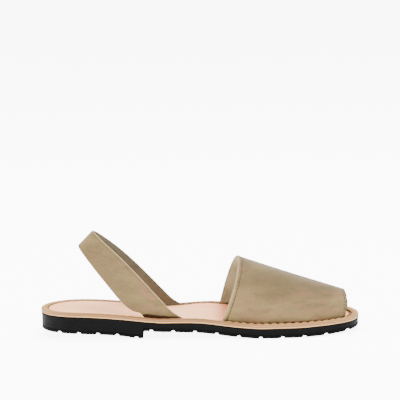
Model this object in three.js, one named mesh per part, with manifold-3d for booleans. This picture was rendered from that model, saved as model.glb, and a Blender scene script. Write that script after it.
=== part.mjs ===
// Flat open-toe sandal for the left foot: a rubber sole with a low heel, a leather midsole
// and welt, an insole, a vamp over the forefoot and a strap round the heel.
// Millimetres. +X points to the toe, +Y to the outer side of the foot and +Z up. The origin
// is on the floor, under the middle of the sole.
import * as THREE from "three";
import { mergeVertices } from "three/addons/utils/BufferGeometryUtils.js";
import Module from "manifold-3d";

// Sole
const SOLE_LENGTH = 250;
const BALL_WIDTH = 97.5;
const FORE_RUBBER = 7.8; // thickness of the rubber under the ball
const HEEL_RISE = 10.3; // rubber's top at the heel, over its top at the ball
const HEEL_ROCK = 5.0; // the back of the heel is off the floor by this much
const TOE_SPRING = 1.9; // rubber's top at the toe, over its top at the ball
const BREAST_AT = 0.322; // front of the heel block, as a share of the length

// Tread: grooves across the sole
const GROOVE_MOUTH = 3.4;
const GROOVE_ROOF = 2.0;
const GROOVE_DEPTH = 1.3;
const HEEL_PITCH = 15.0;
const HEEL_FIRST = 5.2; // from the front of the heel block to the middle of its first groove
const FORE_PITCH = 17.0;
const FORE_FIRST = 6.5; // from the front of the heel block to the first groove ahead of it
const LAST_GROOVE = 1 / 3; // share of a pitch that stays clear at each end of the sole

// Leather layers on the rubber
const FIT = 0.3; // clearance between neighbouring pieces
const MIDSOLE_THICK = 0.9;
const WELT_THICK = 1.6;
const WELT_WIDTH = 5.3;
const INSOLE_THICK = 0.9;
const CREASE = 0.6; // open line between insole and welt where nothing is tucked in

// Upper
const UPPER_WALL = 1.8; // leather and its lining
const INSTEP_HEIGHT = 46.9; // vamp's top over the insole, at its back edge
const TOE_HEIGHT = 19.5; // vamp's top over the insole, at the toe opening
const RIDGE_SAG = 0.7; // the ridge dips by this much between the two
// The vamp's back edge and toe edge, each at its feet and on the ridge, as shares of the length.
const VAMP_BACK_FOOT = 0.565;
const VAMP_BACK_TOP = 0.626;
const VAMP_TOE_INNER_FOOT = 0.955;
const VAMP_TOE_OUTER_FOOT = 0.962;
const VAMP_TOE_TOP = 0.951;
const TOE_EDGE_BOW = 1.6; // the toe opening's edge bows forward half way up
const INNER_SWEEP = 1.4; // how the back edge leans: exponents for each side
const OUTER_SWEEP = 0.83;
const RIDGE_AT = 0.4; // vamp's ridge, as a share of its width from the inner side
const ARCH_POWER = 2.25; // 2 is an ellipse, and more is fuller at the shoulders
const STRAP_RISE = 67.1; // strap's top edge over the insole where it is tucked in
const TUCK_RAMP = 3.0; // the insole's recess eases in over this length

// Shares of the length along the sole, and of the ball's width to each side of the line
// through the middle of the heel.
const OUTLINE = [
  { at: 0.012, inner: 0.141, outer: 0.141 },
  { at: 0.036, inner: 0.232, outer: 0.228 },
  { at: 0.075, inner: 0.304, outer: 0.298 },
  { at: 0.12, inner: 0.334, outer: 0.327 },
  { at: 0.2, inner: 0.345, outer: 0.342 },
  { at: 0.28, inner: 0.344, outer: 0.353 },
  { at: 0.36, inner: 0.339, outer: 0.367 },
  { at: 0.42, inner: 0.342, outer: 0.387 },
  { at: 0.48, inner: 0.373, outer: 0.421 },
  { at: 0.54, inner: 0.42, outer: 0.474 },
  { at: 0.6, inner: 0.452, outer: 0.508 },
  { at: 0.66, inner: 0.472, outer: 0.52 },
  { at: 0.72, inner: 0.481, outer: 0.513 },
  { at: 0.78, inner: 0.477, outer: 0.485 },
  { at: 0.84, inner: 0.458, outer: 0.438 },
  { at: 0.89, inner: 0.424, outer: 0.378 },
  { at: 0.93, inner: 0.381, outer: 0.314 },
  { at: 0.96, inner: 0.331, outer: 0.252 },
  { at: 0.984, inner: 0.258, outer: 0.121 },
];
const TOE_TIP_SIDE = 0.088; // the tip lies on the inner side, share of the ball's width

// Top line of the rubber: rise is a share of HEEL_RISE, spring of TOE_SPRING.
const BED = [
  { at: 0, rise: 0.99, spring: 0 },
  { at: 0.06, rise: 1, spring: 0 },
  { at: 0.11, rise: 0.985, spring: 0 },
  { at: 0.163, rise: 0.93, spring: 0 },
  { at: 0.213, rise: 0.835, spring: 0 },
  { at: 0.276, rise: 0.665, spring: 0 },
  { at: 0.335, rise: 0.48, spring: 0 },
  { at: 0.384, rise: 0.37, spring: 0 },
  { at: 0.43, rise: 0.378, spring: 0 },
  { at: 0.49, rise: 0.398, spring: 0 },
  { at: 0.53, rise: 0.357, spring: 0 },
  { at: 0.59, rise: 0.19, spring: 0 },
  { at: 0.64, rise: 0.075, spring: 0 },
  { at: 0.685, rise: 0, spring: 0 },
  { at: 0.8, rise: 0, spring: 0 },
  { at: 0.845, rise: 0, spring: 0.15 },
  { at: 0.895, rise: 0, spring: 0.38 },
  { at: 0.945, rise: 0, spring: 0.66 },
  { at: 1, rise: 0, spring: 1 },
];

// Underside: rock is a share of HEEL_ROCK behind the heel's front, and full is the share of
// FORE_RUBBER that is left ahead of it.
const HEEL_UNDER = [
  { at: 0, rock: 1 },
  { at: 0.06, rock: 0.96 },
  { at: 0.11, rock: 0.89 },
  { at: 0.163, rock: 0.79 },
  { at: 0.213, rock: 0.645 },
  { at: 0.25, rock: 0.46 },
  { at: 0.28, rock: 0.25 },
  { at: 0.305, rock: 0 },
  { at: 0.35, rock: 0 },
];
const FORE_UNDER = [
  { at: 0.3, full: 0.92 },
  { at: 0.384, full: 0.93 },
  { at: 0.47, full: 1 },
  { at: 0.88, full: 0.99 },
  { at: 0.945, full: 0.92 },
  { at: 0.975, full: 0.87 },
  { at: 1, full: 0.79 },
];

// Heel strap, from the middle of its loop to where it is tucked in. frontAt and rearAt are
// shares of the length, and frontUp and rearUp are shares of STRAP_RISE over the insole.
const STRAP = [
  { along: 0, frontAt: 0.168, frontUp: 1, rearAt: 0.121, rearUp: 0.824 },
  { along: 0.33, frontAt: 0.258, frontUp: 0.686, rearAt: 0.197, rearUp: 0.45 },
  { along: 0.62, frontAt: 0.336, frontUp: 0.388, rearAt: 0.264, rearUp: 0.148 },
  { along: 0.8, frontAt: 0.38, frontUp: 0.214, rearAt: 0.291, rearUp: 0.074 },
  { along: 0.93, frontAt: 0.414, frontUp: 0.081, rearAt: 0.314, rearUp: 0.05 },
  { along: 1, frontAt: 0.446, frontUp: 0, rearAt: 0.328, rearUp: 0 },
];

// Fineness of the facets
const OUTLINE_STEPS = 150;
const BED_STEPS = 44;
const VAMP_ROWS = 22;
const VAMP_COLUMNS = 30;
const TOE_CROWDING = 0.5; // the vamp's rows lie closer at the toe, where its foot line turns
const STRAP_STEPS = 40;
const STRAP_ROWS = 6;

const wasm = await Module();
wasm.setup();

// A smooth curve through a table's rows that never swings past them.
function through(rows, key, column) {
  const x = rows.map((row) => row[key]);
  const y = rows.map((row) => row[column]);
  const slope = x.slice(1).map((next, i) => (y[i + 1] - y[i]) / (next - x[i]));
  const tangent = x.map((_, i) => {
    const before = slope[Math.max(i - 1, 0)];
    const after = slope[Math.min(i, slope.length - 1)];
    return before * after <= 0 ? 0 : (2 * before * after) / (before + after);
  });
  return (at) => {
    const found = x.findIndex((value) => value > at);
    const i = found < 0 ? x.length - 2 : Math.max(found - 1, 0);
    const width = x[i + 1] - x[i];
    const t = THREE.MathUtils.clamp((at - x[i]) / width, 0, 1);
    const rest = 1 - t;
    const ends = y[i] * rest * rest * (1 + 2 * t) + y[i + 1] * t * t * (3 - 2 * t);
    return ends + width * t * rest * (tangent[i] * rest - tangent[i + 1] * t);
  };
}

const xAt = (share) => (share - 0.5) * SOLE_LENGTH;
const shareAt = (x) => x / SOLE_LENGTH + 0.5;

const riseAt = through(BED, "at", "rise");
const springAt = through(BED, "at", "spring");
const rockAt = through(HEEL_UNDER, "at", "rock");
const fullAt = through(FORE_UNDER, "at", "full");

// Height of the rubber's top, and of each layer on it.
function rubberTop(x) {
  const at = THREE.MathUtils.clamp(shareAt(x), 0, 1);
  return FORE_RUBBER + HEEL_RISE * riseAt(at) + TOE_SPRING * springAt(at);
}
const MIDSOLE_BASE = FIT;
const LAYER_BASE = MIDSOLE_BASE + MIDSOLE_THICK + FIT;
const WELT_TOP = LAYER_BASE + WELT_THICK;
const INSOLE_TOP = LAYER_BASE + INSOLE_THICK;
const insoleTop = (x) => rubberTop(x) + INSOLE_TOP;

// The sole's outline as a closed run of points, from the heel's end along the inner side.
function soleOutline() {
  const point = (at, side) => new THREE.Vector3(xAt(at), side * BALL_WIDTH, 0);
  const inner = OUTLINE.map((row) => point(row.at, -row.inner));
  const outer = OUTLINE.map((row) => point(row.at, row.outer)).reverse();
  const ring = [point(0, 0), ...inner, point(1, -TOE_TIP_SIDE), ...outer];
  const curve = new THREE.CatmullRomCurve3(ring, true, "centripetal");
  const points = curve.getSpacedPoints(OUTLINE_STEPS).slice(0, -1);
  const box = new THREE.Box3().setFromPoints(points);
  const middle = box.getCenter(new THREE.Vector3());
  return points.map((p) => new THREE.Vector2(p.x - middle.x, p.y - middle.y));
}
const SOLE = soleOutline();
const HEEL_LINE = (SOLE[0].y + SOLE[1].y + SOLE[SOLE.length - 1].y) / 3;

// The outline moved inwards by a distance, and by more where a recess is cut: recess(x) is
// read where the point lies after the first move.
function inset(distance, recess = () => 0) {
  return SOLE.map((p, i) => {
    const before = SOLE[(i + SOLE.length - 1) % SOLE.length];
    const after = SOLE[(i + 1) % SOLE.length];
    const along = after.clone().sub(before).normalize();
    const deep = distance + recess(p.x - along.y * distance);
    return new THREE.Vector2(p.x - along.y * deep, p.y + along.x * deep);
  });
}

// How far to one side a ring of points lies at a given x: side is -1 or 1.
function sideOf(ring, side) {
  return (x) => {
    let best = 0;
    ring.forEach((p, i) => {
      const q = ring[(i + 1) % ring.length];
      if ((p.x - x) * (q.x - x) > 0 || p.x === q.x) return;
      const y = p.y + ((q.y - p.y) * (x - p.x)) / (q.x - p.x);
      if (y * side > best * side) best = y;
    });
    return best;
  };
}

// A closed geometry as a solid, and a solid as a geometry.
function solid(geometry) {
  const bare = geometry.clone();
  Object.keys(bare.attributes).forEach((name) => {
    if (name !== "position") bare.deleteAttribute(name);
  });
  const merged = mergeVertices(bare, 1e-4);
  return new wasm.Manifold(
    new wasm.Mesh({
      numProp: 3,
      vertProperties: merged.attributes.position.array,
      triVerts: new Uint32Array(merged.index.array),
    }),
  );
}
function geometryOf(made) {
  const { numProp, vertProperties, triVerts } = made.getMesh();
  const positions = new Float32Array((vertProperties.length / numProp) * 3);
  for (let i = 0; i < positions.length / 3; i += 1) {
    positions.set(vertProperties.subarray(i * numProp, i * numProp + 3), i * 3);
  }
  const geometry = new THREE.BufferGeometry();
  geometry.setAttribute("position", new THREE.BufferAttribute(positions, 3));
  geometry.setIndex(new THREE.BufferAttribute(new Uint32Array(triVerts), 1));
  return geometry;
}

// A ring of points in plan, as a tall prism that reaches past every layer.
const TALL = 4 * (FORE_RUBBER + HEEL_RISE + TOE_SPRING + WELT_TOP);
function prism(ring) {
  const shape = new THREE.Shape(ring);
  const geometry = new THREE.ExtrudeGeometry(shape, { depth: TALL, bevelEnabled: false });
  return solid(geometry.translate(0, 0, -TALL / 4));
}

// A side view as a slab across the whole sole: points are [x, z].
function slab(points) {
  const shape = new THREE.Shape(points.map(([x, z]) => new THREE.Vector2(x, z)));
  const across = 2 * BALL_WIDTH;
  const geometry = new THREE.ExtrudeGeometry(shape, { depth: across, bevelEnabled: false });
  return solid(geometry.rotateX(Math.PI / 2).translate(0, across / 2, 0));
}

// Places along the sole that every layer's side view shares, a little past both ends.
const PAST = 2;
const STATIONS = Array.from({ length: BED_STEPS + 1 }, (_, i) => {
  return THREE.MathUtils.lerp(-SOLE_LENGTH / 2 - PAST, SOLE_LENGTH / 2 + PAST, i / BED_STEPS);
});
function layer(base, top) {
  const low = STATIONS.map((x) => [x, rubberTop(x) + base]);
  const high = STATIONS.map((x) => [x, rubberTop(x) + top]).reverse();
  return slab([...low, ...high]);
}

// Underside of the rubber, from the heel's end to the toe, with a groove at each place.
// A station this close to a corner is left out.
const NEAR_CORNER = 1;
const BREAST = xAt(BREAST_AT);
const heelUnder = (x) => HEEL_ROCK * rockAt(shareAt(x));
const foreUnder = (x) => rubberTop(x) - FORE_RUBBER * fullAt(shareAt(x));
function underside(from, to, height, middles) {
  const points = [];
  const near = (x) => middles.some((m) => Math.abs(x - m) < GROOVE_MOUTH / 2 + NEAR_CORNER);
  STATIONS.forEach((x) => {
    const inside = x > from + NEAR_CORNER && x < to - NEAR_CORNER;
    if (inside && !near(x)) points.push([x, height(x)]);
  });
  middles.forEach((m) => {
    const corner = (offset, deep) => [m + offset, height(m + offset) + deep];
    points.push(corner(-GROOVE_MOUTH / 2, 0));
    points.push(corner(-GROOVE_ROOF / 2, GROOVE_DEPTH));
    points.push(corner(GROOVE_ROOF / 2, GROOVE_DEPTH));
    points.push(corner(GROOVE_MOUTH / 2, 0));
  });
  points.push([from, height(from)]);
  points.push([to, height(to)]);
  return points.sort((a, b) => a[0] - b[0]);
}
function places(first, pitch, until) {
  const found = [];
  for (let x = first; (until - x) / pitch > LAST_GROOVE; x += pitch) {
    found.push(x);
  }
  return found;
}
function outsole() {
  const back = STATIONS[0];
  const front = STATIONS[STATIONS.length - 1];
  const heelGrooves = places(BREAST - HEEL_FIRST, -HEEL_PITCH, -SOLE_LENGTH / 2);
  const foreGrooves = places(BREAST + FORE_FIRST, FORE_PITCH, SOLE_LENGTH / 2);
  const low = [
    ...underside(back, BREAST, heelUnder, heelGrooves),
    ...underside(BREAST, front, foreUnder, foreGrooves),
  ];
  const high = STATIONS.map((x) => [x, rubberTop(x)]).reverse();
  return slab([...low, ...high]).intersect(prism(SOLE));
}

// Where the strap and the vamp are tucked in between the insole and the welt.
const TUCKS = [
  [xAt(STRAP[STRAP.length - 1].rearAt), xAt(STRAP[STRAP.length - 1].frontAt)],
  [xAt(VAMP_BACK_FOOT), xAt(Math.max(VAMP_TOE_INNER_FOOT, VAMP_TOE_OUTER_FOOT))],
];
const TUCK_WIDTH = UPPER_WALL + 2 * FIT;
function recess(x) {
  const tucked = TUCKS.map(([from, to]) => {
    const outside = Math.max(from - FIT - x, x - to - FIT, 0);
    return 1 - THREE.MathUtils.smoothstep(outside, TUCK_RAMP, 3 * TUCK_RAMP);
  });
  return (TUCK_WIDTH - CREASE) * Math.max(...tucked);
}
const midsole = () => layer(MIDSOLE_BASE, MIDSOLE_BASE + MIDSOLE_THICK).intersect(prism(SOLE));
function insole() {
  return layer(LAYER_BASE, INSOLE_TOP).intersect(prism(inset(WELT_WIDTH + CREASE, recess)));
}
function welt() {
  const ring = prism(SOLE).subtract(prism(inset(WELT_WIDTH)));
  return layer(LAYER_BASE, WELT_TOP).intersect(ring);
}

// A sheet of leather: outer(u, v) gives its outer face over a grid, and its wall is laid
// inwards, square to that face. The result is one closed body.
function sheet(outer, columns, rows, wall) {
  const front = [];
  const back = [];
  const step = 1e-3;
  for (let j = 0; j <= rows; j += 1) {
    for (let i = 0; i <= columns; i += 1) {
      const [u, v] = [i / columns, j / rows];
      const here = outer(u, v);
      const alongU = outer(Math.min(u + step, 1), v).sub(outer(Math.max(u - step, 0), v));
      const alongV = outer(u, Math.min(v + step, 1)).sub(outer(u, Math.max(v - step, 0)));
      const out = alongU.cross(alongV).normalize();
      front.push(here);
      back.push(here.clone().addScaledVector(out, -wall));
    }
  }
  const wide = columns + 1;
  const points = [...front, ...back];
  const faces = [];
  const quad = (a, b, c, d) => faces.push(a, b, c, a, c, d);
  for (let j = 0; j < rows; j += 1) {
    for (let i = 0; i < columns; i += 1) {
      const a = j * wide + i;
      const far = front.length;
      quad(a, a + 1, a + 1 + wide, a + wide);
      quad(far + a, far + a + wide, far + a + 1 + wide, far + a + 1);
    }
  }
  const edge = (a, b) => quad(b, a, a + front.length, b + front.length);
  for (let i = 0; i < columns; i += 1) {
    edge(i, i + 1);
    edge(rows * wide + i + 1, rows * wide + i);
  }
  for (let j = 0; j < rows; j += 1) {
    edge((j + 1) * wide, j * wide);
    edge(j * wide + columns, (j + 1) * wide + columns);
  }
  const geometry = new THREE.BufferGeometry().setFromPoints(points);
  geometry.setIndex(faces);
  return solid(geometry);
}

const TUCKED = inset(WELT_WIDTH + FIT);
const innerFoot = sideOf(TUCKED, -1);
const outerFoot = sideOf(TUCKED, 1);

// The vamp: u runs from its inner foot over the ridge to its outer foot, and v from the back
// edge to the toe opening. A short first and last column stand in the tuck.
const FOOT_COLUMN = 1 / VAMP_COLUMNS;
function vampFace(u, v) {
  const over = THREE.MathUtils.clamp((u - FOOT_COLUMN) / (1 - 2 * FOOT_COLUMN), 0, 1);
  const angle = over * Math.PI;
  const up = Math.pow(Math.max(Math.sin(angle), 0), 2 / ARCH_POWER);
  const aside = Math.pow(Math.abs(Math.cos(angle)), 2 / ARCH_POWER);
  const innerSide = over < 0.5;
  const sweep = innerSide ? INNER_SWEEP : OUTER_SWEEP;
  const toeFoot = innerSide ? VAMP_TOE_INNER_FOOT : VAMP_TOE_OUTER_FOOT;
  const lean = Math.pow(1 - Math.min(up, 1), sweep);
  const back = xAt(THREE.MathUtils.lerp(VAMP_BACK_TOP, VAMP_BACK_FOOT, lean));
  const bow = TOE_EDGE_BOW * Math.sin(Math.PI * up) ** 2;
  const toe = xAt(THREE.MathUtils.lerp(toeFoot, VAMP_TOE_TOP, up)) + bow;
  const x = THREE.MathUtils.lerp(back, toe, v + (TOE_CROWDING * Math.sin(Math.PI * v)) / Math.PI);
  const footX = Math.min(x, xAt(toeFoot));
  const [inner, outer] = [innerFoot(footX), outerFoot(footX)];
  const ridge = THREE.MathUtils.lerp(inner, outer, RIDGE_AT);
  const y = ridge + aside * ((innerSide ? inner : outer) - ridge);
  const base = insoleTop(x) + FIT;
  const sunk = Math.max(FOOT_COLUMN - u, u - 1 + FOOT_COLUMN, 0) / FOOT_COLUMN;
  const z = base + up * (ridgeHeight(x) - base) - sunk * (INSOLE_THICK + FIT);
  return new THREE.Vector3(x, y, z);
}
function ridgeHeight(x) {
  const [back, toe] = [xAt(VAMP_BACK_TOP), xAt(VAMP_TOE_TOP)];
  const along = (x - back) / (toe - back);
  const high = insoleTop(back) + INSTEP_HEIGHT;
  const dip = 4 * RIDGE_SAG * along * (1 - along);
  return THREE.MathUtils.lerp(high, insoleTop(toe) + TOE_HEIGHT, along) - dip;
}
const vamp = () => sheet((u, v) => vampFace(u, 1 - v), VAMP_COLUMNS, VAMP_ROWS, UPPER_WALL);

// The heel strap: u runs from the inner side round the loop to the outer side, and v from
// its rear edge to its front edge. From above, the loop is half an ellipse.
const strapColumn = (column) => through(STRAP, "along", column);
const frontAt = strapColumn("frontAt");
const frontUp = strapColumn("frontUp");
const rearAt = strapColumn("rearAt");
const rearUp = strapColumn("rearUp");
const STRAP_END = 1 / STRAP_STEPS;
function strapFace(u, v) {
  const turn = THREE.MathUtils.clamp((u - STRAP_END) / (1 - 2 * STRAP_END), 0, 1);
  const angle = (turn - 0.5) * Math.PI;
  const along = 1 - Math.cos(angle);
  const x = xAt(THREE.MathUtils.lerp(rearAt(along), frontAt(along), v));
  const up = THREE.MathUtils.lerp(rearUp(along), frontUp(along), v);
  const aside = Math.sin(angle);
  const groove = aside < 0 ? innerFoot(x) : outerFoot(x);
  const y = HEEL_LINE + Math.abs(aside) * (groove - HEEL_LINE);
  const tucked = xAt(STRAP[STRAP.length - 1].frontAt);
  const level = THREE.MathUtils.lerp(insoleTop(tucked), insoleTop(x), along);
  const sunk = Math.max(STRAP_END - u, u - 1 + STRAP_END, 0) / STRAP_END;
  return new THREE.Vector3(x, y, level + up * STRAP_RISE - sunk * INSOLE_THICK);
}
const strapSheet = (u, v) => strapFace(u, 1 - v);
const heelStrap = () => sheet(strapSheet, STRAP_STEPS, STRAP_ROWS, UPPER_WALL);

const RUBBER = { color: 0x232322, roughness: 0.75, metalness: 0 };
const RAW_EDGE = { color: 0xd8c0a0, roughness: 0.8, metalness: 0 };
const NATURAL_LEATHER = { color: 0xc0a080, roughness: 0.7, metalness: 0 };
const PALE_LEATHER = { color: 0xefcfbd, roughness: 0.55, metalness: 0 };
const NUBUCK = { color: 0xb09c7d, roughness: 0.95, metalness: 0 };

const sandal = new THREE.Group();
function add(name, made, finish) {
  const mesh = new THREE.Mesh(geometryOf(made), new THREE.MeshStandardMaterial(finish));
  mesh.name = name;
  sandal.add(mesh);
}
add("outsole", outsole(), RUBBER);
add("midsole", midsole(), RAW_EDGE);
add("welt", welt(), NATURAL_LEATHER);
add("insole", insole(), PALE_LEATHER);
add("vamp", vamp(), NUBUCK);
add("heel_strap", heelStrap(), NUBUCK);

export default sandal;
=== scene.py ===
"""Looks of an open-toe sandal for the left foot, laid out as a Blender add-on.

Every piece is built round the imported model, in metres: +X points to the toe, +Y to the outer
side of the foot and +Z up. Sizes in the tables and constants are millimetres times MM.
"""
import math

import bmesh
import bpy
import numpy as np
from bpy.props import FloatProperty, FloatVectorProperty, PointerProperty
from mathutils import Matrix, Vector


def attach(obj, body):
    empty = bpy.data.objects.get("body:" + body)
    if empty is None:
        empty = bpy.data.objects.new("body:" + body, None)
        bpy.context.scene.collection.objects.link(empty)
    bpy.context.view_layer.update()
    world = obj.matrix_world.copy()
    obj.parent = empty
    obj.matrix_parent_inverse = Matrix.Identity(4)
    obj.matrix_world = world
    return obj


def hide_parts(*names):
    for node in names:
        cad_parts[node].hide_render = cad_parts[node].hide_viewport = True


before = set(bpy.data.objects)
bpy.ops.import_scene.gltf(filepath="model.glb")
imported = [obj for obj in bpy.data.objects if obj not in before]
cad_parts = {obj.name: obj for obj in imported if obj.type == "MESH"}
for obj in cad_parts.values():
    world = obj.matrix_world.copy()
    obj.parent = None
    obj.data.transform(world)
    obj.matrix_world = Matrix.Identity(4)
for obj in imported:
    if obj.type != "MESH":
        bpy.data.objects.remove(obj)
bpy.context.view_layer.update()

bl_info = {
    "name": "Open-toe sandal",
    "version": (1, 0, 0),
    "blender": (4, 5, 0),
    "location": "View3D > Sidebar > Sandal",
    "description": "Builds the leather, rubber and stitches of a sandal round its packed model",
    "category": "Object",
}

MM = 0.001
BODY = "root"

# The upper's form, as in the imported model. Shares are of the sole's length.
SOLE_LENGTH = 250 * MM
FIT = 0.3 * MM
TUCK_INSET = 5.6 * MM  # the upper's outer face goes down this far inside the sole's edge
UPPER_WALL = 1.8 * MM
INSTEP_HEIGHT = 46.9 * MM
TOE_HEIGHT = 19.5 * MM
RIDGE_SAG = 0.7 * MM
VAMP_BACK_FOOT = 0.565
VAMP_BACK_TOP = 0.626
VAMP_TOE_INNER_FOOT = 0.955
VAMP_TOE_OUTER_FOOT = 0.962
VAMP_TOE_TOP = 0.951
TOE_EDGE_BOW = 1.6 * MM
INNER_SWEEP = 1.4
OUTER_SWEEP = 0.83
RIDGE_AT = 0.4
ARCH_POWER = 2.25
STRAP_RISE = 67.1 * MM
TUCK_DEPTH = 1.1 * MM
SINK = 0.01  # share of the way across that stands for the sunk foot
LOOP_WAIST = 0.08  # how much narrower the strap is right behind the heel
WAIST_TURN = 0.13  # radians of its loop over which it widens again

# The vamp's edges stand this far before the solid's, over the toes and at the inner foot.
TOE_LIP = 1.7 * MM
TOE_LIP_FROM = 0.3  # shares of the height over the insole
TOE_LIP_OVER = 0.45
BACK_FOOT_ON = 1.4 * MM

# The upper's two layers and their cut edges
GLUE_GAP = 0.03 * MM
LINING_DROP = 0.3 * MM  # how much deeper the vamp's lining starts
NUBUCK_BULGE = 0.25 * MM
LINING_BULGE = 0.12 * MM
SHOULDER_AT = 0.7  # at this share of half its thickness a cut edge has a line
SHOULDER_BULGE = 0.72  # that stands out by this share of its bulge

# Lines beside an edge, and how far from it they run. The rim is the pale edge of the back.
BACK_ROW = 3.0 * MM
TOE_ROW = 1.9 * MM
STRAP_ROW = 1.5 * MM
PRESS_DEPTH = 0.35 * MM
STRAP_PRESS = 0.2 * MM
PAD_MIDDLE = 1.5 * MM
PAD_WIDTH = 0.9 * MM
PAD_HEIGHT = 0.3 * MM
RIM_WIDTH = 0.7 * MM
RIM_FADE = 0.8 * MM
TOE_LINE = 0.2 * MM
PRESS_WIDTH = 0.5 * MM
TOE_LINE_WIDTH = 0.45 * MM
STRAP_LINE_WIDTH = 0.4 * MM
STRAP_LINE_FROM = 0.12  # over these shares of the strap its line fades in past the middle
STRAP_LINE_TO = 0.06  # of the loop and fades out before its feet
FAR_FROM = 0.52  # the far half of the vamp starts here, in shares of the way across
FAR_OVER = 0.06
SEAM_DARK_UNDER = 12 * MM  # over the insole. Further up the seam's line is paler and narrower
SEAM_DARK_OVER = 14 * MM

# How strong the upper's marks are, from 0 to 1
RIM_TONE = 0.2
CUT_TONE = 0.6
FAR_CUT_TONE = 0.6
SEAM_TONE = 0.7  # far over the insole. Low down it is 1
SEAM_NARROW = 0.3 * MM
SEAM_WIDE = 0.42 * MM
TOE_LINE_TONE = 0.85
STRAP_LINE_TONE = 0.5
# How strong the painted shade along the vamp's foot is:
CREASE_TONE = 0.45  # midway between two holes of the welt. At a hole it is 1

# Painted shade: the dark line at the vamp's foot and in the strap's slot, from the insole up
CREASE_UP = 0.8 * MM
CREASE_WAVE = 0.6 * MM
CREASE_FADE = 0.5 * MM
SLOT_FROM = -49 * MM
SLOT_TO = -12 * MM
SLOT_BASE = 0.3 * MM
SLOT_HEIGHT = 3.1 * MM
SLOT_FADE = 0.7 * MM
SLOT_DEPTH = 0.7 * MM
SLOT_OPENS = 0.22  # it opens over this share of its length
SLOT_TAPER = 0.8
SLOT_PALER = 0.45
SLOT_PALER_FROM = 0.45
SLOT_PALER_OVER = 0.5

# Heel strap from the middle of its loop to its foot: shares of the length and of STRAP_RISE.
STRAP = [
    {"along": 0.0, "front_at": 0.168, "front_up": 1.0, "rear_at": 0.121, "rear_up": 0.824},
    {"along": 0.33, "front_at": 0.258, "front_up": 0.686, "rear_at": 0.197, "rear_up": 0.45},
    {"along": 0.62, "front_at": 0.336, "front_up": 0.388, "rear_at": 0.264, "rear_up": 0.148},
    {"along": 0.8, "front_at": 0.38, "front_up": 0.214, "rear_at": 0.291, "rear_up": 0.074},
    {"along": 0.93, "front_at": 0.414, "front_up": 0.081, "rear_at": 0.314, "rear_up": 0.05},
    {"along": 1.0, "front_at": 0.446, "front_up": 0.0, "rear_at": 0.328, "rear_up": 0.0},
]

# Fineness of the meshes
RING_POINTS = 2400
WELT_POINTS = 1000
STATION_STEP = 0.625 * MM
VAMP_ACROSS = 150
VAMP_ALONG = 120
STRAP_AROUND = 320
STRAP_ACROSS = 40
THREAD_STEPS = 8
THREAD_SIDES = 8
END_CROWDING = 0.12  # how much closer a sheet's lines lie at its cut edges
SEARCH_STEPS = 200
MERGE_WITHIN = 0.004 * MM
NORMAL_STEP = 1e-3
TINY = 1e-12


def lerp(a, b, t):
    return a + (b - a) * t


def smoothstep(t):
    t = np.clip(t, 0.0, 1.0)
    return t * t * (3.0 - 2.0 * t)


def x_at(share):
    return (share - 0.5) * SOLE_LENGTH


def unit(vectors):
    """Vectors brought to a length of 1."""
    return vectors / np.maximum(np.linalg.norm(vectors, axis=-1, keepdims=True), TINY)


def run_along(points):
    """How far along a line each of its points lies."""
    steps = np.linalg.norm(np.diff(points, axis=0), axis=1)
    return np.concatenate([[0], np.cumsum(steps)])


def cad_points(node):
    """The corners of a CAD node."""
    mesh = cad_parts[node].data
    flat = np.empty(len(mesh.vertices) * 3, np.float32)
    mesh.vertices.foreach_get("co", flat)
    return flat.reshape(-1, 3).astype(float)


def smoothed(values, spread):
    """A closed run of values, blurred over a number of steps."""
    reach = int(3 * spread)
    steps = np.arange(-reach, reach + 1)
    weights = np.exp(-0.5 * (steps / spread) ** 2)
    weights /= weights.sum()
    rolled = [np.roll(values, -step, axis=0) * weight for step, weight in zip(steps, weights)]
    return np.sum(rolled, axis=0)


def through(rows, key, column):
    """A smooth curve through a table's rows that never swings past them."""
    x = np.array([row[key] for row in rows])
    y = np.array([row[column] for row in rows])
    slope = np.diff(y) / np.diff(x)
    before = np.concatenate([slope[:1], slope])
    after = np.concatenate([slope, slope[-1:]])
    total = np.where(before * after > 0, before + after, 1.0)
    tangent = np.where(before * after > 0, 2 * before * after / total, 0.0)

    def curve(at):
        at = np.clip(at, x[0], x[-1])
        i = np.clip(np.searchsorted(x, at, side="right") - 1, 0, len(x) - 2)
        width = x[i + 1] - x[i]
        t = (at - x[i]) / width
        rest = 1 - t
        ends = y[i] * rest**2 * (1 + 2 * t) + y[i + 1] * t**2 * (3 - 2 * t)
        return ends + width * t * rest * (tangent[i] * rest - tangent[i + 1] * t)

    return curve


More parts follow.
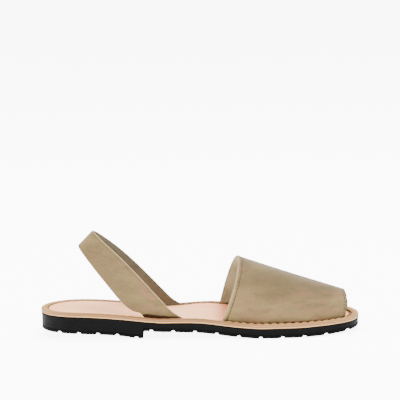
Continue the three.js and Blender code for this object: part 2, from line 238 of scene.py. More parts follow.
class Outline:
    """A flat piece's edge in plan, read from its CAD node as one smooth closed line.

    The line starts at the heel, runs along the inner side to the toe and comes back along
    the outer side.
    """

    CLOSE = 0.3 * MM
    BLUR = 1.6 * MM

    def __init__(self, node):
        plan = np.unique(cad_points(node)[:, :2].round(5), axis=0)
        plan = plan[np.argsort(np.arctan2(plan[:, 1], plan[:, 0]))]
        gaps = np.linalg.norm(plan - np.roll(plan, 1, axis=0), axis=1)
        plan = plan[gaps > self.CLOSE]
        closed = np.vstack([plan, plan[:1]])
        run = run_along(closed)
        self.length = run[-1]
        even = np.linspace(0, self.length, RING_POINTS, endpoint=False)
        ring = np.stack([np.interp(even, run, closed[:, i]) for i in (0, 1)], axis=1)
        self.ring = smoothed(ring, self.BLUR / self.length * RING_POINTS)
        along = np.roll(self.ring, -1, axis=0) - np.roll(self.ring, 1, axis=0)
        self.out = unit(np.stack([along[:, 1], -along[:, 0]], axis=1))
        self.ends = self.ring[:, 0].min(), self.ring[:, 0].max()

    def sides(self, inset=0.0):
        """The inner and the outer side, each from heel to toe, moved inwards.

        The columns are x, y, the unit vector out of the edge and the share of the way round.
        """
        share = np.arange(RING_POINTS)[:, None] / RING_POINTS
        line = np.hstack([self.ring - self.out * inset, self.out, share])
        line = np.roll(line, -int(np.argmin(self.ring[:, 0])), axis=0)
        toe = int(np.argmax(line[:, 0]))
        return line[: toe + 1], np.vstack([line[toe:], line[:1]])[::-1]

    def side_at(self, x, side, inset=0.0, column=1):
        """How far the inner (0) or outer (1) side lies across, at places x."""
        line = self.sides(inset)[side]
        return np.interp(x, np.maximum.accumulate(line[:, 0]), line[:, column])

    def share_at(self, x, side):
        """How far round the whole edge the places x of a side are, from 0 to 1."""
        return self.side_at(x, side, column=4)

    def rim(self, x, inset=0.0):
        """Points of both sides at stations x of the edge, moved inwards: [side, station, xy]."""
        found = []
        for line in self.sides():
            rising = np.maximum.accumulate(line[:, 0])
            across, out_x, out_y = (np.interp(x, rising, line[:, i]) for i in (1, 2, 3))
            out = unit(np.stack([out_x, out_y], axis=1))
            found.append(np.stack([x, across], axis=1) - out * inset)
        return np.array(found)

    def around(self, count, inset):
        """Evenly spaced points round the edge, moved inwards."""
        picked = np.arange(count) * RING_POINTS / count
        whole = np.arange(RING_POINTS + 1)
        line = self.ring - self.out * inset
        line = np.vstack([line, line[:1]])
        return np.stack([np.interp(picked, whole, line[:, i]) for i in (0, 1)], axis=1)


class Heights:
    """The heights of a flat piece's two faces along the sole, read from its CAD node."""

    BLUR = 2.5 * MM
    STEP = 0.5 * MM

    def __init__(self, node):
        points = cad_points(node)
        x = np.unique(points[:, 0].round(5))
        near = [points[np.abs(points[:, 0] - at) < 1e-5, 2] for at in x]
        even = np.arange(x[0], x[-1], self.STEP)
        self.x = even
        self.low = self._soft(np.interp(even, x, [z.min() for z in near]))
        self.high = self._soft(np.interp(even, x, [z.max() for z in near]))

    def _soft(self, values):
        pad = int(6 * self.BLUR / self.STEP)
        first, last = values[1] - values[0], values[-1] - values[-2]
        before = values[0] + first * np.arange(-pad, 0)
        after = values[-1] + last * np.arange(1, pad + 1)
        longer = np.concatenate([before, values, after])
        return smoothed(longer, self.BLUR / self.STEP)[pad:-pad]

    def top(self, x):
        return np.interp(x, self.x, self.high)

    def base(self, x):
        return np.interp(x, self.x, self.low)


SOLE = Outline("midsole")
INSOLE = Outline("insole")
MIDSOLE_Z = Heights("midsole")
WELT_Z = Heights("welt")
INSOLE_Z = Heights("insole")
HEEL_LINE = float(SOLE.sides()[0][0, 1])


def rubber_top(x):
    return MIDSOLE_Z.base(x) - FIT


def grid_faces(lines, points, wrap_lines, wrap_points):
    """Faces over a grid whose corners are numbered line by line."""
    i, j = np.meshgrid(
        np.arange(lines if wrap_lines else lines - 1),
        np.arange(points if wrap_points else points - 1),
        indexing="ij",
    )
    i2, j2 = (i + 1) % lines, (j + 1) % points
    corners = [i * points + j, i * points + j2, i2 * points + j2, i2 * points + j]
    return np.stack(corners, axis=-1).reshape(-1, 4).tolist()


def add_object(name, data):
    made = bpy.data.objects.new(name, data)
    bpy.context.scene.collection.objects.link(made)
    return made


def add_piece(name, points, faces, material, marks=None):
    """A smooth closed mesh with its doubles merged and its faces turned outwards.

    marks are values kept at its corners, for its material.
    """
    mesh = bpy.data.meshes.new(name)
    mesh.from_pydata(np.asarray(points).reshape(-1, 3).tolist(), [], faces)
    for mark, values in (marks or {}).items():
        layer = mesh.attributes.new(mark, "FLOAT", "POINT")
        layer.data.foreach_set("value", np.asarray(values, np.float32).ravel())
    made = bmesh.new()
    made.from_mesh(mesh)
    bmesh.ops.remove_doubles(made, verts=made.verts, dist=MERGE_WITHIN)
    bmesh.ops.recalc_face_normals(made, faces=made.faces)
    made.to_mesh(mesh)
    made.free()
    mesh.shade_smooth()
    mesh.materials.append(material)
    return add_object(name, mesh)


def finish_piece(piece, slot, *nodes):
    """Says what a piece rides on and stands for. The slot is not used."""
    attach(piece, BODY)
    if nodes:
        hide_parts(*nodes)


# Nodes and materials


def linear(colour):
    """A colour as screens give it, as the numbers that light adds up."""
    return [c / 12.92 if c <= 0.04045 else ((c + 0.055) / 1.055) ** 2.4 for c in colour]


def toned(colour, *factors):
    """A screen colour times one factor, or each of its channels times its own."""
    return [c * f for c, f in zip(colour, factors if len(factors) > 1 else factors * 3)]


class Wire:
    """A value that varies over a surface or a row of points. Arithmetic on it adds Math nodes."""

    def __init__(self, nodes, socket):
        self.nodes = nodes
        self.socket = socket

    def maths(self, operation, *values):
        return self.nodes.node("ShaderNodeMath", {"operation": operation}, dict(enumerate(values)))

    def __add__(self, other):
        return self.maths("ADD", self, other)

    __radd__ = __add__

    def __sub__(self, other):
        return self.maths("SUBTRACT", self, other)

    def __rsub__(self, other):
        return self.maths("SUBTRACT", other, self)

    def __mul__(self, other):
        return self.maths("MULTIPLY", self, other)

    __rmul__ = __mul__

    def between(self, low, high):
        """0 below low and 1 above high, softly."""
        settings = {"interpolation_type": "SMOOTHSTEP"}
        return self.nodes.node("ShaderNodeMapRange", settings, {0: self, 1: low, 2: high})


class Nodes:
    """A node tree, written with one call for each node."""

    def __init__(self, tree):
        self.tree = tree

    def node(self, kind, settings=None, sockets=None, out=0):
        """Adds a node, fills its sockets with wires or plain values and gives one output."""
        made = self.tree.nodes.new(kind)
        for name, value in (settings or {}).items():
            setattr(made, name, value)
        for key, value in (sockets or {}).items():
            if isinstance(value, Wire):
                self.tree.links.new(value.socket, made.inputs[key])
            else:
                made.inputs[key].default_value = value
        return Wire(self, made.outputs[out])


class Paint(Nodes):
    """One material and the nodes that feed its shader."""

    def __init__(self, name, specular, others=None):
        self.material = bpy.data.materials.new(name)
        self.material.use_nodes = True
        super().__init__(self.material.node_tree)
        self.shader = self.tree.nodes["Principled BSDF"]
        self.place = self.node("ShaderNodeTexCoord", out="Object")
        for socket, value in {"Specular IOR Level": specular, **(others or {})}.items():
            self.shader.inputs[socket].default_value = value

    def scaled(self, size, stretch=(1, 1, 1)):
        """The place on the piece, in steps of size metres, longer where stretched."""
        scale = [1.0 / (size * s) for s in stretch]
        return self.node("ShaderNodeMapping", None, {"Vector": self.place, "Scale": scale})

    def noise(self, size, detail=2.0, stretch=(1, 1, 1), distortion=0.0):
        """Soft noise whose patches are about size metres across."""
        sockets = {"Vector": self.scaled(size, stretch), "Scale": 1.0}
        sockets.update({"Detail": detail, "Distortion": distortion})
        return self.node("ShaderNodeTexNoise", None, sockets)

    def cells(self, size):
        """Distance to the nearest of many scattered points, about size metres apart."""
        return self.node("ShaderNodeTexVoronoi", None, {"Vector": self.scaled(size), "Scale": 1.0})

    def mark(self, name):
        """A value kept at the mesh's corners."""
        return self.node("ShaderNodeAttribute", {"attribute_name": name}, None, "Fac")

    def lengthways(self):
        """The place along the sole, in metres."""
        return self.node("ShaderNodeSeparateXYZ", None, {0: self.place}, "X")

    def mix(self, factor, first, second):
        """A colour between two, each a wire or a screen colour."""
        ends = [c if isinstance(c, Wire) else (*linear(c), 1.0) for c in (first, second)]
        settings = {"data_type": "RGBA"}
        return self.node("ShaderNodeMix", settings, {0: factor, 6: ends[0], 7: ends[1]}, 2)

    def marked(self, colour, **tints):
        """A colour with other ones laid over it, each where the mesh has the mark of its name."""
        for name, tint in tints.items():
            colour = self.mix(self.mark(name), colour, tint)
        return colour

    def bump(self, height, depth, below=None):
        """A normal from a height of 0 to 1 that stands for depth metres."""
        sockets = {"Height": height, "Distance": depth, "Strength": 1.0}
        if below is not None:
            sockets["Normal"] = below
        return self.node("ShaderNodeBump", None, sockets)

    def finish(self, colour, roughness, normal=None):
        links = {"Base Color": colour, "Roughness": roughness, "Normal": normal}
        for socket, wire in links.items():
            if wire is not None:
                self.tree.links.new(wire.socket, self.shader.inputs[socket])
        return self.material


def paint_rubber(colours):
    paint = Paint("black_rubber", 0.035)
    cloud = paint.noise(9 * MM, 3.0)
    speck = paint.noise(0.7 * MM, 2.0)
    dust = paint.noise(3 * MM, 4.0, (2.5, 1, 0.6)).between(0.5, 0.75)
    dusty = [min(1.0, c * 1.35 + 0.01) for c in colours.rubber]
    colour = paint.mix(cloud.between(0.35, 0.65), toned(colours.rubber, 0.8), colours.rubber)
    colour = paint.mix(dust * 0.35, colour, dusty)
    roughness = 0.6 + cloud * 0.2 + speck * 0.1
    normal = paint.bump(speck, 0.05 * MM, paint.bump(cloud, 0.25 * MM))
    return paint.finish(colour, roughness, normal)


def paint_raw_edge(colours):
    paint = Paint("raw_edge", 0.25)
    fibre = paint.noise(0.5 * MM, 3.0, (4, 4, 0.6))
    patch = paint.noise(14 * MM, 2.0)
    shade = toned(colours.raw_edge, 0.86)
    colour = paint.mix(fibre * 0.5 + patch * 0.5, shade, colours.raw_edge)
    colour = paint.marked(colour, lower=colours.raw_line)
    return paint.finish(colour, 0.75 + fibre * 0.15, paint.bump(fibre, 0.06 * MM))


def paint_welt(colours):
    paint = Paint("welt_leather", 0.35)
    fibre = paint.noise(0.6 * MM, 3.0, (5, 5, 0.5))
    patch = paint.noise(16 * MM, 2.0, (2.0, 1, 1)).between(0.35, 0.7)
    stain = toned(colours.welt, 0.86, 0.79, 0.58)
    colour = paint.mix(patch * 0.6, colours.welt, stain)
    colour = paint.mix(fibre.between(0.4, 0.8) * 0.35, colour, toned(colours.welt, 0.8))
    colour = paint.marked(colour, top=colours.welt_top)
    x = paint.lengthways()
    waist = x.between(x_at(0.02), x_at(0.3)) * (1 - x.between(x_at(0.5), x_at(0.75)))
    colour = paint.mix(waist * 0.8, colour, stain)
    colour = paint.marked(colour, crease=colours.crease)
    return paint.finish(colour, 0.55 + fibre * 0.2, paint.bump(fibre, 0.05 * MM))


def paint_insole(colours):
    paint = Paint("footbed_leather", 0.45)
    cloud = paint.noise(30 * MM, 3.0, (1.6, 1, 1))
    pores = paint.cells(0.9 * MM)
    grain = paint.noise(0.8 * MM, 3.0)
    warm = toned(colours.insole, 0.985, 0.93, 0.88)
    colour = paint.mix(cloud.between(0.35, 0.7), colours.insole, warm)
    colour = paint.mix((1 - pores.between(0.0, 0.35)) * 0.12, colour, warm)
    # Painted shade with a red painted reflection: the insole turns deeper and redder from just
    # behind the vamp's back foot, under the vamp, up to the toe opening.
    x = paint.lengthways()
    near = x.between(x_at(0.515), x_at(0.585))
    under_vamp_shade = near * near * (1 - x.between(x_at(0.94), x_at(0.955)))
    colour = paint.mix(under_vamp_shade, colour, colours.insole_shade)
    colour = paint.marked(colour, crease=colours.crease)
    normal = paint.bump(grain, 0.05 * MM, paint.bump(pores, 0.04 * MM))
    return paint.finish(colour, 0.42 + cloud * 0.16, normal)


def paint_nubuck(colours):
    paint = Paint("sand_nubuck", 0.2, {"Sheen Weight": 0.12, "Sheen Roughness": 0.35})
    cloud = paint.noise(14 * MM, 2.0, (1.8, 1.8, 0.7), 0.4)
    smudge = paint.noise(7 * MM, 2.5, (1.8, 1.8, 0.6), 0.3)
    nap = paint.noise(0.8 * MM, 4.0)
    fine = paint.noise(0.35 * MM, 2.0)
    shade, light = colours.nubuck_shade, colours.nubuck_light
    colour = paint.mix(cloud.between(0.38, 0.62) * 0.8, colours.nubuck, shade)
    colour = paint.mix(smudge.between(0.42, 0.62) * 0.9, colour, colours.nubuck_rose)
    colour = paint.marked(colour, worn=shade, pale=light)
    colour = paint.mix(nap.between(0.2, 0.8) * 0.4, colour, light)
    colour = paint.marked(colour, edge=colours.cut_edge, seam=colours.seam, crease=colours.crease)
    normal = paint.bump(fine, 0.04 * MM, paint.bump(nap, 0.08 * MM))
    return paint.finish(colour, 0.85 + cloud * 0.1, normal)


def paint_lining(name, tint, edge):
    paint = Paint(name, 0.3)
    cloud = paint.noise(12 * MM, 3.0)
    grain = paint.cells(0.7 * MM)
    colour = paint.mix(cloud.between(0.3, 0.7), tint, toned(tint, 0.88))
    colour = paint.marked(colour, shade=toned(tint, 0.62, 0.54, 0.38))
    colour = paint.mix(paint.mark("edge") * 0.8, colour, edge)
    return paint.finish(colour, 0.6 + cloud * 0.15, paint.bump(grain, 0.05 * MM))


def paint_thread(name, tint):
    paint = Paint(name, 0.3)
    twist = paint.noise(0.5 * MM, 2.0)
    colour = paint.mix(twist, tint, toned(tint, 0.8))
    return paint.finish(colour, 0.7 + twist * 0.1, paint.bump(twist, 0.1 * MM))


def paint_floor(colours):
    glow = {"Emission Strength": FLOOR_GLOW, "Emission Color": (1, 1, 1, 1)}
    paint = Paint("studio_floor", 0.1, glow)
    grain = paint.noise(0.4, 2.0)
    colour = paint.mix(grain, colours.floor, toned(colours.floor, 0.997))
    return paint.finish(colour, 0.8 + grain * 0.05)


# Sole

BREAST = x_at(0.322)  # where the heel block ends
HEEL_LOW = 5.4 * MM  # the heel block's lower line stays under this height
GROOVE_MOUTH = 3.4 * MM
GROOVE_DEPTH = 1.3 * MM
GROOVE_SLOPE = 0.9 * MM
GROOVE_SPILL = 0.1 * MM  # how far its rounding goes past its mouth
GROOVE_LINES = 15
HEEL_FIRST = 5.2 * MM
HEEL_PITCH = 15 * MM
FORE_FIRST = 6.5 * MM
FORE_PITCH = 17 * MM
RIBS_FROM = (3.2 * MM, 3.8 * MM)  # the fine ribs rise between these two lines beside the rim
RIB_PITCH = 2.5 * MM
RIB_DEPTH = 0.45 * MM
LIP_HEIGHT = 1.4 * MM
LIP_STEP = 0.3 * MM
LUG_LINE = 2.7 * MM  # the step over the lugs, from the plain lower line
LAYER_GAP = 0.02 * MM
PALE_LINE_UP = 0.55  # share of the midsole's height that its pale line takes
PALE_LINES = (5, 6)  # which lines of the profile the pale line lies on
INSOLE_WALL_LINES = (3, 5)
PULL_POWER = 3  # how sharply the welt dips at a hole
# The welt's painted shade at each stitch hole and in the groove on its inner edge:
HOLE_POWER = 3.5  # how sharply it darkens there
HOLE_TONE = 1.3
GROOVE_LEAST = 0.1  # how dark the groove inside the welt is midway between two holes
TOE_GROOVE_FROM = 0.9  # the dark groove inside the welt has no gaps before the toes
TOE_GROOVE_OVER = 8 * MM
HEEL_GROOVE_TO = 0.045  # and none round the heel end
HEEL_GROOVE_OVER = 6 * MM
TIP = 6 * MM  # at both ends a flat piece's lines lie closer together
TIP_LINES = 24
LAYER_TIP_LINES = 22
LAYER_LINES = 240
TREAD_FROM = 6.2 * MM  # the even lines of the sole and of a thin layer start this far in
LAYER_FROM = 6.5 * MM
MIDDLE_GAP = 0.06 * MM
NARROWEST = 1e-3 * MM
AT_BREAST = 0.02 * MM  # the two lines at the breast lie this far apart


def groove_middles():
    """Where the cross grooves of the tread lie, behind and in front of the heel's breast."""
    heel, toe = SOLE.ends
    behind = np.arange(BREAST - HEEL_FIRST, heel + GROOVE_MOUTH, -HEEL_PITCH)
    ahead = np.arange(BREAST + FORE_FIRST, toe - GROOVE_MOUTH, FORE_PITCH)
    return np.concatenate([behind, ahead])


def tips(outline, count):
    """Places close together near the heel end, and the same near the toe end."""
    away = TIP * np.linspace(0, 1, count) ** 2
    return outline.ends[0] + away, outline.ends[1] - away


class Underside:
    """The rubber's lower line along the sole, read from its CAD node between the grooves."""

    def __init__(self):
        points = cad_points("outsole")
        points = points[points[:, 2] < rubber_top(points[:, 0]) - MM]
        self.middles = groove_middles()
        away = np.abs(points[:, 0, None] - self.middles).min(axis=1)
        points = points[away > GROOVE_MOUTH / 2 - AT_BREAST]
        points = points[np.argsort(points[:, 0])]
        behind = points[points[:, 0] < BREAST + AT_BREAST / 2]
        self.behind = behind[behind[:, 2] < HEEL_LOW]
        self.ahead = points[points[:, 0] > BREAST + MM]

    def plain(self, x):
        """The line without its grooves."""
        behind, ahead = (np.interp(x, p[:, 0], p[:, 2]) for p in (self.behind, self.ahead))
        return np.where(x <= BREAST, behind, ahead)

    def groove(self, x):
        """1 in the middle of a groove, 0 outside it."""
        away = np.abs(np.asarray(x)[..., None] - self.middles).min(axis=-1)
        return smoothstep((GROOVE_MOUTH / 2 + GROOVE_SPILL - away) / GROOVE_SLOPE)

    def line(self, x):
        return self.plain(x) + GROOVE_DEPTH * self.groove(x)

    def stations(self, step):
        """Places along the sole: even ones, more at the grooves, and both sides of the breast."""
        heel, toe = SOLE.ends
        even = np.arange(heel + TREAD_FROM, toe - TREAD_FROM, step)
        reach = GROOVE_MOUTH / 2 + 2 * GROOVE_SPILL
        grooves = (self.middles[:, None] + np.linspace(-reach, reach, GROOVE_LINES)).ravel()
        clear = np.abs(even[:, None] - self.middles).min(axis=1) > reach + step / 3
        clear &= np.abs(even - BREAST) > step / 3
        breast = [BREAST, BREAST + AT_BREAST]
        return np.unique(np.concatenate([*tips(SOLE, TIP_LINES), even[clear], grooves, breast]))


def plate(outline, stations, profile, relief=None):
    """A flat piece as lines from heel to toe, down its outer side and up its inner side.

    profile is a list of (inset, height(x)). relief(x) is added to the face that comes last,
    inside its rim.
    """

    def placed(plan, height, raised=0.0):
        return np.column_stack([plan, height(plan[:, 0]) + raised])

    sides = [(*outline.rim(stations, inset), height) for inset, height in profile]
    lines = [placed(outer, height) for _, outer, height in sides]
    if relief:
        inner, outer, height = sides[-1]
        width = np.maximum(np.linalg.norm(outer - inner, axis=1), NARROWEST)
        start, full = (np.clip(away / width, 0, 0.5) for away in RIBS_FROM)
        for share, ribbed in ((start, 0), (full, 1), (1 - full, 1), (1 - start, 0)):
            across = outer + (inner - outer) * share[:, None]
            lines.append(placed(across, height, ribbed * relief(across[:, 0])))
    lines += [placed(inner, height) for inner, _, height in reversed(sides)]
    return np.array(lines)


def side_marks(lines, first, last):
    """1 on the profile's lines from first to last on both sides of a plate, 0 on the others."""
    marks = np.zeros(lines.shape[:2])
    marks[first : last + 1] = 1.0
    marks[::-1][first : last + 1] = 1.0
    return marks


def welt_holes(share, pitch):
    """1 at each hole of the thick stitch and 0 midway between two, round the edge."""
    count = round(SOLE.length / pitch)
    return 0.5 + 0.5 * np.cos(share * count * 2 * math.pi)


class SANDAL_OT_outsole(bpy.types.Operator):
    """Black rubber sole with its lip, heel block, cross grooves and fine tread."""

    bl_idname = "sandal.outsole"
    bl_label = "Outsole"

    def execute(self, context):
        under = Underside()
        x = under.stations(STATION_STEP)
        heel = SOLE.ends[0]

        def from_top(drop):
            return lambda at: rubber_top(at) - drop

        def from_low(rise):
            return lambda at: under.line(at) + rise

        def lug(rise):
            return lambda at: under.plain(at) + LUG_LINE + rise

        def ribs(at):
            wave = 0.5 - 0.5 * np.cos(2 * math.pi * (at - heel) / RIB_PITCH)
            flat = 1 - np.clip(under.groove(at) * 3, 0, 1)
            return RIB_DEPTH * wave * flat

        profile = [
            (1.2 * MM, from_top(0)),
            (0.5 * MM, from_top(0.02 * MM)),
            (0.12 * MM, from_top(0.2 * MM)),
            (0.0, from_top(0.5 * MM)),
            (0.0, from_top(LIP_HEIGHT)),
            (LIP_STEP, from_top(LIP_HEIGHT + 0.35 * MM)),
            (LIP_STEP, lug(0.5 * MM)),
            (LIP_STEP + 0.2 * MM, lug(0.1 * MM)),
            (LIP_STEP, lug(-0.2 * MM)),
            (0.2 * MM, from_low(0.8 * MM)),
            (0.35 * MM, from_low(0.35 * MM)),
            (0.75 * MM, from_low(0.08 * MM)),
            (1.3 * MM, under.line),
        ]
        lines = plate(SOLE, x, profile, ribs)
        faces = grid_faces(len(lines), len(x), True, False)
        material = paint_rubber(context.scene.sandal_colours)
        piece = add_piece("outsole_rubber", lines, faces, material)
        finish_piece(piece, "sole_rubber", "outsole")
        return {"FINISHED"}


def flat_layer(outline, base, top, rounding, middle=None):
    """A thin layer with rounded edges, from base(x) to top(x).

    middle adds two lines to its wall, that share of its height over the base.
    """
    heel, toe = outline.ends
    even = np.linspace(heel + LAYER_FROM, toe - LAYER_FROM, LAYER_LINES)
    x = np.unique(np.concatenate([*tips(outline, LAYER_TIP_LINES), even]))
    profile = [
        (3 * rounding, top),
        (rounding, lambda at: top(at) - 0.1 * rounding),
        (0.3 * rounding, lambda at: top(at) - 0.4 * rounding),
        (0.0, lambda at: top(at) - rounding),
        (0.0, lambda at: base(at) + rounding),
        (rounding, base),
    ]
    if middle:
        upper = (0.0, lambda at: lerp(base(at), top(at), middle) + MIDDLE_GAP)
        lower = (0.0, lambda at: lerp(base(at), top(at), middle))
        profile[4:4] = [upper, lower]
    lines = plate(outline, x, profile)
    return lines, grid_faces(len(lines), len(x), True, False)


class SANDAL_OT_midsole(bpy.types.Operator):
    """Thin raw leather layer that shows as a pale line on the rubber."""

    bl_idname = "sandal.midsole"
    bl_label = "Midsole"

    def execute(self, context):
        lines, faces = flat_layer(
            SOLE,
            lambda at: rubber_top(at) + LAYER_GAP,
            lambda at: WELT_Z.base(at) - LAYER_GAP,
            rounding=0.2 * MM,
            middle=PALE_LINE_UP,
        )
        marks = {"lower": side_marks(lines, *PALE_LINES)}
        material = paint_raw_edge(context.scene.sandal_colours)
        piece = add_piece("midsole_leather", lines, faces, material, marks)
        finish_piece(piece, "raw_edge_leather", "midsole")
        return {"FINISHED"}


class SANDAL_OT_insole(bpy.types.Operator):
    """Pale leather insole, a little lower than the welt round it."""

    bl_idname = "sandal.insole"
    bl_label = "Insole"

    def execute(self, context):
        lines, faces = flat_layer(INSOLE, INSOLE_Z.base, INSOLE_Z.top, rounding=0.3 * MM)
        # Painted shade on the insole's side wall, in the groove beside the welt
        marks = {"crease": side_marks(lines, *INSOLE_WALL_LINES)}
        material = paint_insole(context.scene.sandal_colours)
        piece = add_piece("insole_leather", lines, faces, material, marks)
        finish_piece(piece, "insole_leather", "insole")
        return {"FINISHED"}


class SANDAL_OT_welt(bpy.types.Operator):
    """Leather strip round the top of the sole, pulled down at each stitch hole."""

    bl_idname = "sandal.welt"
    bl_label = "Welt"

    def execute(self, context):
        sizes = context.scene.sandal_sizes
        holes = welt_holes(np.arange(WELT_POINTS) / WELT_POINTS, sizes.welt_pitch)
        edge_x = SOLE.around(WELT_POINTS, 0.0)[:, 0]
        # Painted shade in the groove inside the welt: full at the toe and heel ends, and between
        # them strongest at the stitch holes.
        toe = smoothstep((edge_x - x_at(TOE_GROOVE_FROM)) / TOE_GROOVE_OVER)
        heel = smoothstep((x_at(HEEL_GROOVE_TO) - edge_x) / HEEL_GROOVE_OVER)
        between = GROOVE_LEAST + (1 - GROOVE_LEAST) * holes**2
        groove = lerp(between, 1.0, np.maximum(toe, heel))
        width = sizes.welt_width
        lines, top, crease = [], [], []

        def line(inset, face, lift, pull=0.0, upper=0.0, dark=0.0):
            """One line round the welt.

            pull is how far each stitch draws it down, upper and dark are its marks. dark is painted
            shade in the groove, and a pulled line is painted with shade at each hole too.
            """
            plan = SOLE.around(WELT_POINTS, inset)
            height = face(plan[:, 0]) + lift - pull * holes**PULL_POWER
            lines.append(np.column_stack([plan, height]))
            top.append(np.full(WELT_POINTS, upper))
            crease.append(dark * groove + (HOLE_TONE * holes**HOLE_POWER if pull else 0))

        line(0.0, WELT_Z.base, 0.25 * MM)
        line(0.0, WELT_Z.top, -0.55 * MM)
        line(0.12 * MM, WELT_Z.top, -0.2 * MM)
        line(0.45 * MM, WELT_Z.top, -0.03 * MM, upper=0.6)
        line(1.2 * MM, WELT_Z.top, 0.0, upper=1.0)
        line(width - 2.2 * MM, WELT_Z.top, 0.0, upper=1.0)
        line(width - 1.8 * MM, WELT_Z.top, -0.02 * MM, pull=0.1 * MM, upper=1.0)
        line(width - 1.2 * MM, WELT_Z.top, -0.06 * MM, pull=0.4 * MM, upper=1.0)
        line(width - 0.6 * MM, WELT_Z.top, -0.12 * MM, pull=0.65 * MM, upper=1.0)
        line(width - 0.2 * MM, WELT_Z.top, -0.25 * MM, pull=0.65 * MM, upper=0.8, dark=0.3)
        line(width, WELT_Z.top, -0.45 * MM, pull=0.6 * MM, upper=0.8, dark=0.8)
        line(width, WELT_Z.base, 0.1 * MM, upper=0.6, dark=1.0)
        line(width - 0.3 * MM, WELT_Z.base, 0.0)
        line(0.25 * MM, WELT_Z.base, 0.0)
        faces = grid_faces(len(lines), WELT_POINTS, True, True)
        material = paint_welt(context.scene.sandal_colours)
        marks = {"top": top, "crease": np.clip(crease, 0, 1)}
        piece = add_piece("welt_strip", lines, faces, material, marks)
        finish_piece(piece, "natural_leather", "welt")
        return {"FINISHED"}


# Upper


def feet(x):
    """How far across the upper's outer face stands at its inner and its outer foot."""
    return SOLE.side_at(x, 0, TUCK_INSET), SOLE.side_at(x, 1, TUCK_INSET)


def sunk(u):
    """How far the upper goes down into its slot, past either foot."""
    return np.maximum(np.maximum(-u, u - 1), 0) / SINK * TUCK_DEPTH


def ridge_height(x):
    back, toe = x_at(VAMP_BACK_TOP), x_at(VAMP_TOE_TOP)
    along = (x - back) / (toe - back)
    high = INSOLE_Z.top(back) + INSTEP_HEIGHT
    dip = 4 * RIDGE_SAG * along * (1 - along)
    return lerp(high, INSOLE_Z.top(toe) + TOE_HEIGHT, along) - dip


def vamp_face(u, v):
    """The vamp's outer face: u from inner foot over the ridge to outer foot, v from back to toe."""
    angle = np.clip(u, 0, 1) * math.pi
    up = np.sin(angle) ** (2 / ARCH_POWER)
    aside = np.abs(np.cos(angle)) ** (2 / ARCH_POWER)
    inner_side = u < 0.5
    toe_foot = np.where(inner_side, VAMP_TOE_INNER_FOOT, VAMP_TOE_OUTER_FOOT)
    lean = (1 - np.minimum(up, 1)) ** np.where(inner_side, INNER_SWEEP, OUTER_SWEEP)
    back = x_at(lerp(VAMP_BACK_TOP, VAMP_BACK_FOOT, lean)) + BACK_FOOT_ON * lean * inner_side
    lip = TOE_LIP * smoothstep((up - TOE_LIP_FROM) / TOE_LIP_OVER)
    bow = TOE_EDGE_BOW * np.sin(math.pi * up) ** 2 + lip
    x = lerp(back, x_at(lerp(toe_foot, VAMP_TOE_TOP, up)) + bow, v)
    inner, outer = feet(np.minimum(x, x_at(toe_foot)))
    ridge = lerp(inner, outer, RIDGE_AT)
    y = ridge + aside * (np.where(inner_side, inner, outer) - ridge)
    base = INSOLE_Z.top(x) + FIT
    return np.stack([x, y, base + up * (ridge_height(x) - base) - sunk(u)], axis=-1)


front_at, front_up, rear_at, rear_up = (
    through(STRAP, "along", column) for column in ("front_at", "front_up", "rear_at", "rear_up")
)


def strap_face(u, v):
    """The strap's outer face: u from inner foot round the loop, v from rear edge to front edge."""
    angle = (np.clip(u, 0, 1) - 0.5) * math.pi
    along = 1 - np.cos(angle)
    v = 0.5 + (v - 0.5) * (1 - LOOP_WAIST * np.exp(-((angle / WAIST_TURN) ** 2)))
    x = x_at(lerp(rear_at(along), front_at(along), v))
    up = lerp(rear_up(along), front_up(along), v)
    aside = np.sin(angle)
    inner, outer = feet(x)
    y = HEEL_LINE + np.abs(aside) * (np.where(aside < 0, inner, outer) - HEEL_LINE)
    level = lerp(INSOLE_Z.top(x_at(STRAP[-1]["front_at"])), INSOLE_Z.top(x), along)
    return np.stack([x, y, level + up * STRAP_RISE - sunk(u)], axis=-1)


def outward(face, u, v):
    """Unit vectors square to a face, out of the shoe, and how the face runs along v."""
    low_u, high_u = np.maximum(u - NORMAL_STEP, 0), np.minimum(u + NORMAL_STEP, 1)
    low_v, high_v = np.maximum(v - NORMAL_STEP, 0), np.minimum(v + NORMAL_STEP, 1)
    along_u = face(high_u, v) - face(low_u, v)
    along_v = face(np.clip(u, 0, 1), high_v) - face(np.clip(u, 0, 1), low_v)
    return unit(np.cross(along_v, along_u)), along_v


